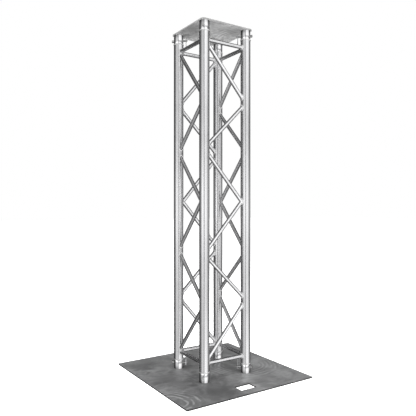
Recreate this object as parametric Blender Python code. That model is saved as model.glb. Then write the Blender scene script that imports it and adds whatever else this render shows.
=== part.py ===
"""A free-standing tower of square lighting truss, standing on a steel base plate under a small top plate.

Four round chords carry conical receivers at both ends. Rails and zigzag diagonals join the chords on
all four sides. Each receiver sits over a half coupler that is screwed to its plate, and a tapered pin
through both is kept in by a spring clip. Metres, +Z up, origin under the middle of the base plate.
"""

import math

import bmesh
import bpy
from mathutils import Matrix, Vector

# Driving sizes
TUBE_RADIUS = 0.0254
TUBE_WALL = 0.003
CENTRES = 0.254
TRUSS_LENGTH = 1.77
BRACE_RADIUS = 0.0097
BRACE_WALL = 0.002
BASE_SIDE = 0.74
BASE_CORNER = 0.004
TOP_SIDE = 0.31
TOP_CORNER = 0.018
PLATE_THICKNESS = 0.006
GAP = 0.0003

# Hand slots in the base plate
SLOT_LENGTH = 0.088
SLOT_WIDTH = 0.056
SLOT_CORNER = 0.005
SLOT_INSET = 0.078

# Receiver, coupler and screw
RECEIVER_RADIUS = 0.0249
RECEIVER_LENGTH = 0.048
RECEIVER_SPIGOT = 0.008
RECEIVER_CHAMFER = 0.001
WELD_RADIUS = 0.0264
WELD_WIDTH = 0.005
CONE_MOUTH_RADIUS = 0.0202
CONE_TIP_RADIUS = 0.0150
CONE_LENGTH = 0.044
SCREW_RADIUS = 0.005
SCREW_HEAD_RADIUS = 0.010
SCREW_RECESS = 0.0004
KEY_RADIUS = 0.0035
KEY_DEPTH = 0.003

# Tapered pin and its spring clip
PIN_HEIGHT = 0.028
PIN_BIG_RADIUS = 0.0065
PIN_SMALL_RADIUS = 0.0045
PIN_OUTER_END = 0.036
PIN_INNER_END = -0.048
PIN_CHAMFER = 0.0012
CLIP_REACH = -0.0405
WIRE_RADIUS = 0.0015
LEG_TIP = -0.012
EYE_RADIUS = 0.0055
EYE_HEIGHT = 0.034
EYE_TURNS = (180, 120, 60, 0, -60)

# The clip's open leg: its waist (sideways in seat widths, down from the eye in eye radii), its seat on
# the pin and its flared tip (sideways and along, in seat widths)
LEG_WAIST = ((0.75, 2.1), (0.62, 3.3))
LEG_SEAT = ((1.0, 0.25), (1.0, -0.6))
LEG_FLARE = 1.5

# Where the bracing meets the chords, as fractions of half the truss length from its middle
RAIL_NODE = 0.900
OUTER_NODE = 0.904
UPPER_NODE = 0.575
LOWER_NODE = 0.293

CHORD_SIDES = 20
BRACE_SIDES = 14
COUPLER_SIDES = 16
PIN_SIDES = 14
CLIP_BEVEL = 1
CLIP_STEPS = 3
CORNER_STEPS = 4
SMOOTH_ANGLE = 35
CUT = 0.02
DRILL_REACH = 0.06

CHORD_BOTTOM = PLATE_THICKNESS + GAP
CHORD_TOP = CHORD_BOTTOM + TRUSS_LENGTH
MIDDLE = (CHORD_BOTTOM + CHORD_TOP) / 2
HALF = TRUSS_LENGTH / 2
OFFSET = CENTRES / 2

CORNERS = ("left_front", "right_front", "right_back", "left_back")
FACES = ("front", "right", "back", "left")


def clear_scene():
    for obj in list(bpy.data.objects):
        bpy.data.objects.remove(obj, do_unlink=True)


def material(name, colour, roughness, metallic):
    made = bpy.data.materials.new(name)
    made.use_nodes = True
    shader = made.node_tree.nodes["Principled BSDF"]
    shader.inputs["Base Color"].default_value = (*colour, 1.0)
    shader.inputs["Roughness"].default_value = roughness
    shader.inputs["Metallic"].default_value = metallic
    made.diffuse_color = (*colour, 1.0)
    return made


def place(name, data, matrix, finish):
    """Add one named piece, with its origin where the matrix puts it."""
    obj = bpy.data.objects.new(name, data)
    obj.matrix_world = matrix
    if not data.materials:
        data.materials.append(finish)
    bpy.context.scene.collection.objects.link(obj)
    return obj


def turned(name, outline, sides, loop=False):
    """Turn an outline of (radius, height) about Z: from axis to axis, or closed on itself for a tube."""
    bm = bmesh.new()
    points = [bm.verts.new((radius, 0.0, height)) for radius, height in outline]
    pairs = list(zip(points, points[1:]))
    if loop:
        pairs.append((points[-1], points[0]))
    edges = [bm.edges.new(pair) for pair in pairs]
    bmesh.ops.spin(
        bm, geom=points + edges, axis=(0, 0, 1), cent=(0, 0, 0), angle=math.tau, steps=sides
    )
    bmesh.ops.remove_doubles(bm, verts=bm.verts, dist=1e-6)
    bmesh.ops.recalc_face_normals(bm, faces=bm.faces)
    mesh = bpy.data.meshes.new(name)
    bm.to_mesh(mesh)
    bm.free()
    return mesh


def slab(name, length, width, height, corner):
    """A flat plate with rounded upright corners, standing on Z = 0."""
    bm = bmesh.new()
    bmesh.ops.create_cube(bm, size=1.0)
    bmesh.ops.scale(bm, vec=(length, width, height), verts=bm.verts)
    bmesh.ops.translate(bm, vec=(0, 0, height / 2), verts=bm.verts)
    upright = [e for e in bm.edges if abs(e.verts[0].co.z - e.verts[1].co.z) > height / 2]
    bmesh.ops.bevel(
        bm, geom=upright, offset=corner, segments=CORNER_STEPS, profile=0.5, affect="EDGES"
    )
    mesh = bpy.data.meshes.new(name)
    bm.to_mesh(mesh)
    bm.free()
    return mesh


def combined(name, body, steps):
    """Apply Booleans to a body and return the mesh that they leave. Steps are (operation, object)."""
    obj = bpy.data.objects.new(name, body)
    bpy.context.scene.collection.objects.link(obj)
    for operation, other in steps:
        boolean = obj.modifiers.new(operation, "BOOLEAN")
        boolean.operation = operation
        boolean.solver = "EXACT"
        boolean.object = other
    bpy.context.view_layer.update()
    graph = bpy.context.evaluated_depsgraph_get()
    mesh = bpy.data.meshes.new_from_object(obj.evaluated_get(graph))
    mesh.name = name
    bpy.data.objects.remove(obj, do_unlink=True)
    mesh.materials.clear()
    mesh.shade_smooth()
    mesh.set_sharp_from_angle(angle=math.radians(SMOOTH_ANGLE))
    return mesh


def helper(name, mesh, matrix=None):
    """A cutter, which is drawn as wire and is not part of the object."""
    obj = bpy.data.objects.new(name, mesh)
    obj.matrix_world = matrix or Matrix.Identity(4)
    obj.hide_render = True
    obj.display_type = "WIRE"
    bpy.context.scene.collection.objects.link(obj)
    return obj


def quarter_turn(index):
    """The turn about Z that carries the first corner or face to another."""
    return Matrix.Rotation(index * math.pi / 2, 4, "Z")


def along(start, end):
    """The matrix that sets a piece's Z axis on a line, with its origin at the line's start."""
    turn = (end - start).to_track_quat("Z", "Y").to_matrix().to_4x4()
    return Matrix.Translation(start) @ turn


def chord_point(side, fraction):
    """A point on the axis of the left (-1) or right (+1) chord of the front face."""
    return Vector((side * OFFSET, -OFFSET, MIDDLE + fraction * HALF))


def pin_frame(corner, upper):
    """The pin's frame: Z outward along the pin, Y up the chord towards its middle."""
    height = CHORD_TOP - PIN_HEIGHT if upper else CHORD_BOTTOM + PIN_HEIGHT
    outward = Vector((-1, -1, 0)).normalized()
    towards_middle = Vector((0, 0, -1 if upper else 1))
    sideways = towards_middle.cross(outward)
    turn = Matrix((sideways, towards_middle, outward)).transposed().to_4x4()
    spot = Matrix.Translation((-OFFSET, -OFFSET, height))
    return quarter_turn(corner) @ spot @ turn


def pin_radius(reach):
    share = (reach - PIN_INNER_END) / (PIN_OUTER_END - PIN_INNER_END)
    return PIN_SMALL_RADIUS + share * (PIN_BIG_RADIUS - PIN_SMALL_RADIUS)


def pin_clearance():
    """The tapered hole that the pin passes through."""
    outline = [
        (0, -DRILL_REACH),
        (pin_radius(-DRILL_REACH) + GAP, -DRILL_REACH),
        (pin_radius(DRILL_REACH) + GAP, DRILL_REACH),
        (0, DRILL_REACH),
    ]
    return turned("pin_clearance", outline, PIN_SIDES)


def chord_mesh():
    """One chord tube with a conical receiver welded into each end, drilled for the pins."""
    bore = TUBE_RADIUS - TUBE_WALL
    spigot_end = RECEIVER_LENGTH + RECEIVER_SPIGOT
    mouth = CONE_MOUTH_RADIUS + GAP
    tip = CONE_TIP_RADIUS + GAP
    weld_end = RECEIVER_LENGTH + WELD_WIDTH
    lower = [
        (bore, spigot_end),
        (tip, spigot_end),
        (tip, CONE_LENGTH),
        (mouth, 0),
        (RECEIVER_RADIUS - RECEIVER_CHAMFER, 0),
        (RECEIVER_RADIUS, RECEIVER_CHAMFER),
        (RECEIVER_RADIUS, RECEIVER_LENGTH),
        (WELD_RADIUS, RECEIVER_LENGTH + WELD_WIDTH / 2),
        (TUBE_RADIUS, weld_end),
    ]
    mirrored = [(radius, TRUSS_LENGTH - height) for radius, height in reversed(lower)]
    tube = turned("chord_blank", lower + mirrored, CHORD_SIDES, loop=True)
    to_chord = Matrix.Translation((-OFFSET, -OFFSET, CHORD_BOTTOM)).inverted()
    drills = [
        helper(f"drill_{upper}", pin_clearance(), to_chord @ pin_frame(0, upper))
        for upper in (False, True)
    ]
    return combined("chord", tube, [("DIFFERENCE", drill) for drill in drills])


def coupler_mesh():
    """A half cone drilled for its pin, in one with the countersunk screw that holds it to the plate."""
    head = -PLATE_THICKNESS - GAP + SCREW_RECESS
    neck = head + SCREW_HEAD_RADIUS - SCREW_RADIUS
    outline = [
        (0, head),
        (SCREW_HEAD_RADIUS, head),
        (SCREW_RADIUS, neck),
        (SCREW_RADIUS, 0),
        (CONE_MOUTH_RADIUS, 0),
        (CONE_TIP_RADIUS, CONE_LENGTH - GAP),
        (CONE_TIP_RADIUS - RECEIVER_CHAMFER, CONE_LENGTH + RECEIVER_CHAMFER),
        (0, CONE_LENGTH + RECEIVER_CHAMFER),
    ]
    blank = turned("coupler_blank", outline, COUPLER_SIDES)
    to_coupler = Matrix.Translation((-OFFSET, -OFFSET, CHORD_BOTTOM)).inverted()
    drill = helper("coupler_drill", pin_clearance(), to_coupler @ pin_frame(0, False))
    key_outline = [
        (0, head - KEY_DEPTH),
        (KEY_RADIUS, head - KEY_DEPTH),
        (KEY_RADIUS, head + KEY_DEPTH),
        (0, head + KEY_DEPTH),
    ]
    key = helper("key_socket", turned("key_socket", key_outline, 6))
    return combined("coupler", blank, [("DIFFERENCE", drill), ("DIFFERENCE", key)])


def pin_mesh():
    """A tapered pin, with a cross hole near its thin end for the clip's straight leg."""
    outline = [
        (0, PIN_INNER_END),
        (PIN_SMALL_RADIUS - PIN_CHAMFER, PIN_INNER_END),
        (pin_radius(PIN_INNER_END + PIN_CHAMFER), PIN_INNER_END + PIN_CHAMFER),
        (pin_radius(PIN_OUTER_END - PIN_CHAMFER), PIN_OUTER_END - PIN_CHAMFER),
        (PIN_BIG_RADIUS - PIN_CHAMFER, PIN_OUTER_END),
        (0, PIN_OUTER_END),
    ]
    blank = turned("pin_blank", outline, PIN_SIDES)
    leg = turned(
        "leg_hole", [(0, -CUT), (WIRE_RADIUS + GAP, -CUT), (WIRE_RADIUS + GAP, CUT), (0, CUT)], 8
    )
    upright = Matrix.Translation((0, 0, CLIP_REACH)) @ Matrix.Rotation(math.pi / 2, 4, "X")
    return combined("pin", blank, [("DIFFERENCE", helper("leg_drill", leg, upright))])


def clip_curve():
    """The spring clip: a straight leg, a round eye and a leg that arches past the pin."""
    beside = pin_radius(CLIP_REACH) + WIRE_RADIUS + 2 * GAP
    eye = Vector((EYE_RADIUS, EYE_HEIGHT))
    route = [Vector((0, LEG_TIP)), Vector((0, 0)), Vector((0, EYE_HEIGHT / 2))]
    for degrees in EYE_TURNS:
        angle = math.radians(degrees)
        route.append(eye + EYE_RADIUS * Vector((math.cos(angle), math.sin(angle))))
    for aside, down in LEG_WAIST:
        route.append(Vector((aside * beside, EYE_HEIGHT - down * EYE_RADIUS)))
    for aside, up in LEG_SEAT:
        route.append(beside * Vector((aside, up)))
    route.append(Vector((LEG_FLARE * beside, 0.9 * LEG_TIP)))
    curve = bpy.data.curves.new("clip", "CURVE")
    curve.dimensions = "3D"
    curve.bevel_depth = WIRE_RADIUS
    curve.bevel_resolution = CLIP_BEVEL
    curve.resolution_u = CLIP_STEPS
    curve.use_fill_caps = True
    spline = curve.splines.new("BEZIER")
    spline.bezier_points.add(len(route) - 1)
    for point, spot in zip(spline.bezier_points, route):
        point.co = (spot.x, spot.y, 0)
        point.handle_left_type = "AUTO"
        point.handle_right_type = "AUTO"
    return curve


def tube(name, length):
    bore = BRACE_RADIUS - BRACE_WALL
    outline = [(bore, 0), (BRACE_RADIUS, 0), (BRACE_RADIUS, length), (bore, length)]
    return turned(name, outline, BRACE_SIDES, loop=True)


def chord_cutters(matrix):
    """The two chords of the front face, a little oversize, in the frame of a piece that they cope."""
    cutters = []
    for side in (-1, 1):
        radius = TUBE_RADIUS + GAP
        outline = [(0, 0), (radius, 0), (radius, TRUSS_LENGTH), (0, TRUSS_LENGTH)]
        mesh = turned("chord_clearance", outline, CHORD_SIDES)
        spot = Matrix.Translation((side * OFFSET, -OFFSET, CHORD_BOTTOM))
        cutters.append(helper("chord_clearance", mesh, matrix.inverted() @ spot))
    return cutters


def brace_mesh(name, start, end):
    """A tube from one chord's axis to the other's, coped to fit both chords."""
    matrix = along(start, end)
    cutters = chord_cutters(matrix)
    mesh = combined(name, tube(name, (end - start).length), [("DIFFERENCE", c) for c in cutters])
    return mesh, matrix


def chevron_blank(reach, rise):
    """Two tubes that slant up and down from X = -reach, mitred into each other at the origin."""
    slope = Vector((reach, 0, -rise)).normalized()
    across = Vector((0, 1, 0))
    upright = slope.cross(across)
    bm = bmesh.new()
    skins = []
    for radius in (BRACE_RADIUS, BRACE_RADIUS - BRACE_WALL):
        rings = ([], [], [])
        for step in range(BRACE_SIDES):
            angle = math.tau * step / BRACE_SIDES
            spoke = radius * (math.cos(angle) * across + math.sin(angle) * upright)
            far = Vector((-reach, 0, rise)) + spoke
            mitre = far - slope * (far.z / slope.z)
            for ring, spot in zip(rings, (far, mitre, Vector((far.x, far.y, -far.z)))):
                ring.append(bm.verts.new(spot))
        skins.append(rings)
    outer, inner = skins
    strips = [(outer[0], outer[1]), (outer[1], outer[2]), (outer[2], inner[2])]
    strips += [(inner[2], inner[1]), (inner[1], inner[0]), (inner[0], outer[0])]
    for first, second in strips:
        for step in range(BRACE_SIDES):
            after = (step + 1) % BRACE_SIDES
            bm.faces.new((first[step], first[after], second[after], second[step]))
    bmesh.ops.recalc_face_normals(bm, faces=bm.faces)
    mesh = bpy.data.meshes.new("chevron_blank")
    bm.to_mesh(mesh)
    bm.free()
    return mesh


def chevron_mesh():
    """The two middle diagonals, welded into one V where they meet on the right-hand chord."""
    matrix = Matrix.Translation(chord_point(1, 0) - Vector((TUBE_RADIUS, 0, 0)))
    blank = chevron_blank(CENTRES - TUBE_RADIUS, LOWER_NODE * HALF)
    steps = [("DIFFERENCE", cutter) for cutter in chord_cutters(matrix)]
    return combined("middle_chevron", blank, steps), matrix


def upside_down(matrix):
    """The same piece turned over about the front face's middle line, into the lower half."""
    line = Matrix.Translation((0, -OFFSET, MIDDLE))
    return line @ Matrix.Rotation(math.pi, 4, "X") @ line.inverted() @ matrix


def screw_hole():
    """A countersunk hole, with its head side down."""
    head = SCREW_RECESS
    neck = head + SCREW_HEAD_RADIUS - SCREW_RADIUS
    outline = [
        (0, -CUT),
        (SCREW_HEAD_RADIUS + GAP, -CUT),
        (SCREW_HEAD_RADIUS + GAP, head),
        (SCREW_RADIUS + GAP, neck),
        (SCREW_RADIUS + GAP, CUT),
        (0, CUT),
    ]
    return turned("screw_hole", outline, COUPLER_SIDES)


def plate_mesh(name, side, corner, slots):
    """A square plate with four countersunk holes under the chords, and a hand slot by two edges."""
    cutters = []
    for index in range(4):
        spot = quarter_turn(index) @ Matrix.Translation((-OFFSET, -OFFSET, 0))
        cutters.append(helper("screw_hole", screw_hole(), spot))
    for edge in slots:
        mesh = slab("slot", SLOT_LENGTH, SLOT_WIDTH, 2 * CUT, SLOT_CORNER)
        spot = Matrix.Translation((0, edge * (side / 2 - SLOT_INSET), -CUT))
        cutters.append(helper("slot", mesh, spot))
    blank = slab(name, side, side, PLATE_THICKNESS, corner)
    return combined(name, blank, [("DIFFERENCE", cutter) for cutter in cutters])


def add_plates(steel):
    base = plate_mesh("base_plate", BASE_SIDE, BASE_CORNER, (-1, 1))
    place("base_plate", base, Matrix.Identity(4), steel)
    top = plate_mesh("top_plate", TOP_SIDE, TOP_CORNER, ())
    height = CHORD_TOP + GAP + PLATE_THICKNESS
    turn = Matrix.Translation((0, 0, height)) @ Matrix.Rotation(math.pi, 4, "X")
    place("top_plate", top, turn, steel)


def add_chords(finish):
    mesh = chord_mesh()
    for index, corner in enumerate(CORNERS):
        spot = quarter_turn(index) @ Matrix.Translation((-OFFSET, -OFFSET, CHORD_BOTTOM))
        place(f"{corner}_chord", mesh, spot, finish)


def add_bracing(finish):
    """Seven pieces on each face: two rails, four diagonals and the middle chevron."""
    rail, rail_at = brace_mesh("rail", chord_point(-1, RAIL_NODE), chord_point(1, RAIL_NODE))
    outer, outer_at = brace_mesh(
        "outer_diagonal", chord_point(-1, OUTER_NODE), chord_point(1, UPPER_NODE)
    )
    inner, inner_at = brace_mesh(
        "inner_diagonal", chord_point(-1, LOWER_NODE), chord_point(1, UPPER_NODE)
    )
    chevron, chevron_at = chevron_mesh()
    pieces = (
        ("upper_rail", rail, rail_at),
        ("upper_outer_diagonal", outer, outer_at),
        ("upper_inner_diagonal", inner, inner_at),
        ("middle_chevron", chevron, chevron_at),
        ("lower_inner_diagonal", inner, upside_down(inner_at)),
        ("lower_outer_diagonal", outer, upside_down(outer_at)),
        ("lower_rail", rail, upside_down(rail_at)),
    )
    for index, face in enumerate(FACES):
        for name, mesh, matrix in pieces:
            place(f"{face}_{name}", mesh, quarter_turn(index) @ matrix, finish)


def add_couplings(coupler_finish, pin_finish, clip_finish):
    """A half coupler, a pin and a clip at each end of each chord."""
    coupler, pin, clip = coupler_mesh(), pin_mesh(), clip_curve()
    to_hole = Matrix.Translation((0, 0, CLIP_REACH))
    for index, corner in enumerate(CORNERS):
        for level, upper in (("lower", False), ("upper", True)):
            frame = pin_frame(index, upper)
            name = f"{corner}_{level}"
            spot = quarter_turn(index) @ Matrix.Translation((-OFFSET, -OFFSET, CHORD_BOTTOM))
            if upper:
                over = pin_frame(index, True) @ pin_frame(index, False).inverted()
                spot = over @ spot
            place(f"{name}_coupler", coupler, spot, coupler_finish)
            place(f"{name}_pin", pin, frame, pin_finish)
            place(f"{name}_clip", clip, frame @ to_hole, clip_finish)


def main():
    clear_scene()
    aluminium = material("extruded_aluminium", (0.72, 0.72, 0.73), 0.30, 1.0)
    machined = material("machined_aluminium", (0.80, 0.80, 0.80), 0.22, 1.0)
    plate_steel = material("mill_steel", (0.28, 0.29, 0.30), 0.50, 1.0)
    pin_steel = material("zinc_plated_steel", (0.74, 0.75, 0.76), 0.20, 1.0)
    wire_steel = material("spring_wire", (0.62, 0.63, 0.64), 0.25, 1.0)
    add_plates(plate_steel)
    add_chords(aluminium)
    add_bracing(aluminium)
    add_couplings(machined, pin_steel, wire_steel)


main()
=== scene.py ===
"""Finished surfaces, welds and fittings for a square lighting truss tower, as an add-on."""

import math

import bmesh
import bpy
from bpy.props import FloatProperty, FloatVectorProperty, IntProperty, PointerProperty
from mathutils import Matrix, Vector


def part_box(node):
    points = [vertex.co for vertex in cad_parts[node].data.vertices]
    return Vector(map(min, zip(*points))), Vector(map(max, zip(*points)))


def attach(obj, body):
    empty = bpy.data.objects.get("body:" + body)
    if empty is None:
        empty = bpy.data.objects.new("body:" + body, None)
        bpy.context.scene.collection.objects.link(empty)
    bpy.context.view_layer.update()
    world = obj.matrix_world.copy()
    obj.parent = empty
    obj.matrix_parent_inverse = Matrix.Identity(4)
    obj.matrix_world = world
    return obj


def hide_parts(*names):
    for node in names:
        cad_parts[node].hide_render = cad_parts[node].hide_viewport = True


bl_info = {
    "name": "Lighting Truss Tower",
    "version": (1, 0, 0),
    "blender": (4, 5, 0),
    "location": "View3D > Sidebar > Truss",
    "description": "Builds the tubes, welds, plates and fittings of a truss tower on its frame",
    "category": "Object",
}

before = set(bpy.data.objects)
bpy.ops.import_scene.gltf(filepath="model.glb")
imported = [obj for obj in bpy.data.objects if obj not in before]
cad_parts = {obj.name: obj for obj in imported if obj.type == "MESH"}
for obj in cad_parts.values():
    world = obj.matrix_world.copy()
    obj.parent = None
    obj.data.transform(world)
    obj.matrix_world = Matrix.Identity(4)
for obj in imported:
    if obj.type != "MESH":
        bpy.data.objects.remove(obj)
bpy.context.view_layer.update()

CORNERS = ("left_front", "right_front", "right_back", "left_back")
FACES = ("front", "right", "back", "left")
TRUSS = "truss"

# Places that come from the frame
CHORD_LOW, CHORD_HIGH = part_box("left_front_chord")
OFFSET = -(CHORD_LOW.x + CHORD_HIGH.x) / 2
BOTTOM, TOP = CHORD_LOW.z, CHORD_HIGH.z
MIDDLE = (BOTTOM + TOP) / 2
HALF = (TOP - BOTTOM) / 2
RAIL_LOW, RAIL_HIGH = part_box("front_upper_rail")
RAIL_REACH = (RAIL_LOW.z + RAIL_HIGH.z) / 2 - MIDDLE


def metres(name, description, default):
    return FloatProperty(
        name=name, description=description, default=default, min=0.0, precision=5, unit="LENGTH"
    )


def share(name, description, default):
    return FloatProperty(
        name=name, description=description, default=default, min=0.0, max=1.0, subtype="FACTOR"
    )


def colour(name, description, default):
    return FloatVectorProperty(
        name=name, description=description, default=default, size=3, min=0.0, max=1.0,
        subtype="COLOR",
    )


def sides(name, description, default):
    return IntProperty(name=name, description=description, default=default, min=8)


def turn(name, description, degrees):
    return FloatProperty(
        name=name, description=description, default=math.radians(degrees), subtype="ANGLE"
    )


class TrussSizes(bpy.types.PropertyGroup):
    """Sizes of the truss itself."""

    tube_radius: metres("Chord radius", "Outer radius of the chord tubes", 0.0254)
    tube_wall: metres("Chord wall", "Wall of the chord tubes", 0.003)
    brace_radius: metres("Brace radius", "Outer radius of rails and diagonals", 0.0097)
    brace_wall: metres("Brace wall", "Wall of rails and diagonals", 0.002)
    outer_node: share("Outer node", "Outer diagonals' start, as a share of half length", 0.904)
    upper_node: share("Upper node", "Where outer and inner diagonals meet", 0.575)
    lower_node: share("Lower node", "Where inner diagonals and chevrons meet", 0.293)
    receiver_radius: metres("Receiver radius", "Outer radius of the turned receivers", 0.0249)
    receiver_length: metres("Receiver length", "Length of a receiver outside its tube", 0.048)
    bead_radius: metres("Bead radius", "Thickness of the weld beads at the braces", 0.0036)
    ring_radius: metres("Ring radius", "Thickness of the weld ring under a receiver", 0.0024)
    chord_sides: sides("Chord sides", "Sides of a chord tube", 96)
    brace_sides: sides("Brace sides", "Sides of a brace tube", 40)


class FittingSizes(bpy.types.PropertyGroup):
    """Sizes of the plates, couplers, pins and clips."""

    base_corner: metres("Base corner", "Corner radius of the base plate", 0.004)
    top_corner: metres("Top corner", "Corner radius of the top plate", 0.018)
    slot_length: metres("Slot length", "Length of a hand slot", 0.088)
    slot_width: metres("Slot width", "Width of a hand slot", 0.056)
    slot_corner: metres("Slot corner", "Corner radius of a hand slot", 0.005)
    slot_inset: metres("Slot inset", "From the plate's edge to a slot's middle", 0.078)
    edge_break: metres("Edge break", "Width of the broken edges on the plates", 0.0005)
    cone_mouth: metres("Cone mouth", "Radius of a half coupler at its plate", 0.0202)
    cone_tip: metres("Cone tip", "Radius of a half coupler at its tip", 0.0150)
    cone_length: metres("Cone length", "Height of a half coupler", 0.044)
    screw_radius: metres("Screw radius", "Radius of the plate screws", 0.005)
    screw_head: metres("Screw head", "Radius of a countersunk head", 0.010)
    screw_recess: metres("Screw recess", "How far a head sits below the plate's face", 0.0004)
    pin_height: metres("Pin height", "From a chord's end to its pin", 0.028)
    pin_big: metres("Pin, thick end", "Radius of a pin's outer end", 0.0065)
    pin_small: metres("Pin, thin end", "Radius of a pin's inner end", 0.0045)
    pin_outer: metres("Pin, outside", "Reach of a pin outward of the chord's axis", 0.036)
    pin_inner: metres("Pin, inside", "Reach of a pin inward of the chord's axis", 0.048)
    clip_reach: metres("Clip reach", "From the chord's axis to the clip", 0.0405)
    wire_radius: metres("Wire radius", "Radius of the clip's wire", 0.0015)
    leg_tip: metres("Leg tip", "How far the clip's legs pass the pin", 0.012)
    eye_radius: metres("Eye radius", "Radius of the clip's eye", 0.0055)
    eye_height: metres("Eye height", "From the pin to the middle of the eye", 0.034)
    gap: metres("Gap", "Clearance between pieces that fit together", 0.0003)


class Finishes(bpy.types.PropertyGroup):
    """Colours and polish of the metals."""

    tube_colour: colour("Tube", "Extruded aluminium of the chords", (0.72, 0.72, 0.73))
    brace_colour: colour("Brace", "Extruded aluminium of the bracing", (0.90, 0.90, 0.91))
    tube_roughness: share("Tube roughness", "Satin of the extruded tubes", 0.25)
    turned_colour: colour("Turned", "Turned aluminium of the receivers", (0.74, 0.74, 0.75))
    turned_roughness: share("Turned roughness", "Polish of the turned aluminium", 0.08)
    weld_colour: colour("Weld", "Fresh aluminium weld", (0.95, 0.95, 0.95))
    base_colour: colour("Base plate", "Mill steel of the base plate", (0.345, 0.347, 0.35))
    # Lighter than the base plate's steel: painted light on the top plate's underside.
    top_lit_colour: colour("Top plate", "Mill steel of the top plate", (0.62, 0.62, 0.62))
    base_edge: colour("Base edge", "Sawn edges of the base plate", (0.03, 0.03, 0.03))
    top_edge: colour("Top edge", "Worn edges of the top plate", (0.30, 0.30, 0.30))
    plate_roughness: share("Plate roughness", "Satin of the mill steel", 0.48)
    zinc_colour: colour("Zinc", "Zinc plating of pins and screws", (0.60, 0.60, 0.60))
    wire_colour: colour("Wire", "Spring wire of the clips", (0.10, 0.10, 0.11))


class StageSetup(bpy.types.PropertyGroup):
    """Floor, light and camera."""

    distance: metres("Distance", "Camera's distance from the tower's axis", 2.5582)
    height: metres("Height", "Camera's height over the floor", 0.8615)
    bearing: turn("Bearing", "Camera's place round the tower", 33.597)
    heading: turn("Heading", "Camera's turn about the vertical", 33.401)
    lens: FloatProperty(name="Lens", description="Focal length", default=42.01, unit="CAMERA")
    floor_size: metres("Floor", "Side of the floor", 60.0)
    light_size: metres("Light", "Width of the overhead light", 4.5)
    light_power: FloatProperty(
        name="Power", description="Power of the overhead light", default=330.0, unit="POWER"
    )


# ---------------------------------------------------------------- shader maths


class Socket:
    """A value in a node tree, on which Python's operators add Math nodes."""

    def __init__(self, recipe, output):
        self.recipe = recipe
        self.output = output

    def maths(self, operation, *values, clamp=False):
        settings = {"operation": operation, "use_clamp": clamp}
        return self.recipe.node("ShaderNodeMath", settings, {i: v for i, v in enumerate(values)})

    def __add__(self, other):
        return self.maths("ADD", self, other)

    def __radd__(self, other):
        return self.maths("ADD", other, self)

    def __sub__(self, other):
        return self.maths("SUBTRACT", self, other)

    def __rsub__(self, other):
        return self.maths("SUBTRACT", other, self)

    def __mul__(self, other):
        return self.maths("MULTIPLY", self, other)

    def __rmul__(self, other):
        return self.maths("MULTIPLY", other, self)

    def __truediv__(self, other):
        return self.maths("DIVIDE", self, other)

    def __pow__(self, other):
        return self.maths("POWER", self, other)

    def __abs__(self):
        return self.maths("ABSOLUTE", self)

    def clamped(self):
        return self.maths("ADD", self, 0.0, clamp=True)

    def between(self, low, high):
        """0 below low, 1 above high, and smooth between them."""
        settings = {"interpolation_type": "SMOOTHSTEP"}
        sockets = {"Value": self, "From Min": low, "From Max": high}
        return self.recipe.node("ShaderNodeMapRange", settings, sockets)


class Recipe:
    """A node tree that is written as expressions."""

    def __init__(self, tree):
        self.tree = tree

    def node(self, kind, settings=None, sockets=None, output=0):
        made = self.tree.nodes.new(kind)
        for name, value in (settings or {}).items():
            if name == "stops":
                self.set_stops(made.color_ramp, value)
            else:
                setattr(made, name, value)
        for name, value in (sockets or {}).items():
            self.feed(made.inputs[name], value)
        return Socket(self, made.outputs[output])

    def feed(self, entry, value):
        if isinstance(value, Socket):
            self.tree.links.new(value.output, entry)
        else:
            entry.default_value = value

    def set_stops(self, ramp, stops):
        while len(ramp.elements) < len(stops):
            ramp.elements.new(1.0)
        for element, (place, grey) in zip(ramp.elements, stops):
            element.position = place
            element.color = (grey, grey, grey, 1.0)

    def place(self):
        return self.node("ShaderNodeTexCoord", output="Object")

    def grain(self):
        """Coordinates in the piece's own frame, with Z along it."""
        return self.node("ShaderNodeAttribute", {"attribute_name": "grain"}, output="Vector")

    def parts(self, vector):
        split = self.tree.nodes.new("ShaderNodeSeparateXYZ")
        self.feed(split.inputs[0], vector)
        return [Socket(self, output) for output in split.outputs]

    def stretched(self, vector, x, y, z):
        sockets = {"Vector": vector, "Scale": (x, y, z)}
        return self.node("ShaderNodeMapping", {"vector_type": "POINT"}, sockets)

    def noise(self, vector, scale, detail=2.0, roughness=0.5, distortion=0.0):
        sockets = {
            "Vector": vector, "Scale": scale, "Detail": detail, "Roughness": roughness,
            "Distortion": distortion,
        }
        return self.node("ShaderNodeTexNoise", None, sockets)

    def blend(self, factor, first, second):
        """Mix two colours, given as RGB triples or sockets."""
        made = self.tree.nodes.new("ShaderNodeMix")
        made.data_type = "RGBA"
        entries = [entry for entry in made.inputs if entry.type == "RGBA"]
        self.feed(made.inputs["Factor"], factor)
        for entry, value in zip(entries, (first, second)):
            self.feed(entry, value if isinstance(value, Socket) else (*value, 1.0))
        outputs = [output for output in made.outputs if output.type == "RGBA"]
        return Socket(self, outputs[0])

    def bump(self, height, distance, strength=1.0):
        sockets = {"Height": height, "Distance": distance, "Strength": strength}
        return self.node("ShaderNodeBump", None, sockets)


def shader(name, build):
    """A Principled material, whose recipe returns the sockets that it sets."""
    made = bpy.data.materials.get(name)
    if made:
        return made
    made = bpy.data.materials.new(name)
    made.use_nodes = True
    recipe = Recipe(made.node_tree)
    principled = made.node_tree.nodes["Principled BSDF"]
    for entry, value in build(recipe).items():
        recipe.feed(principled.inputs[entry], value)
    return made


def darker(tint, amount):
    return tuple(min(channel * amount, 1.0) for channel in tint)


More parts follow.
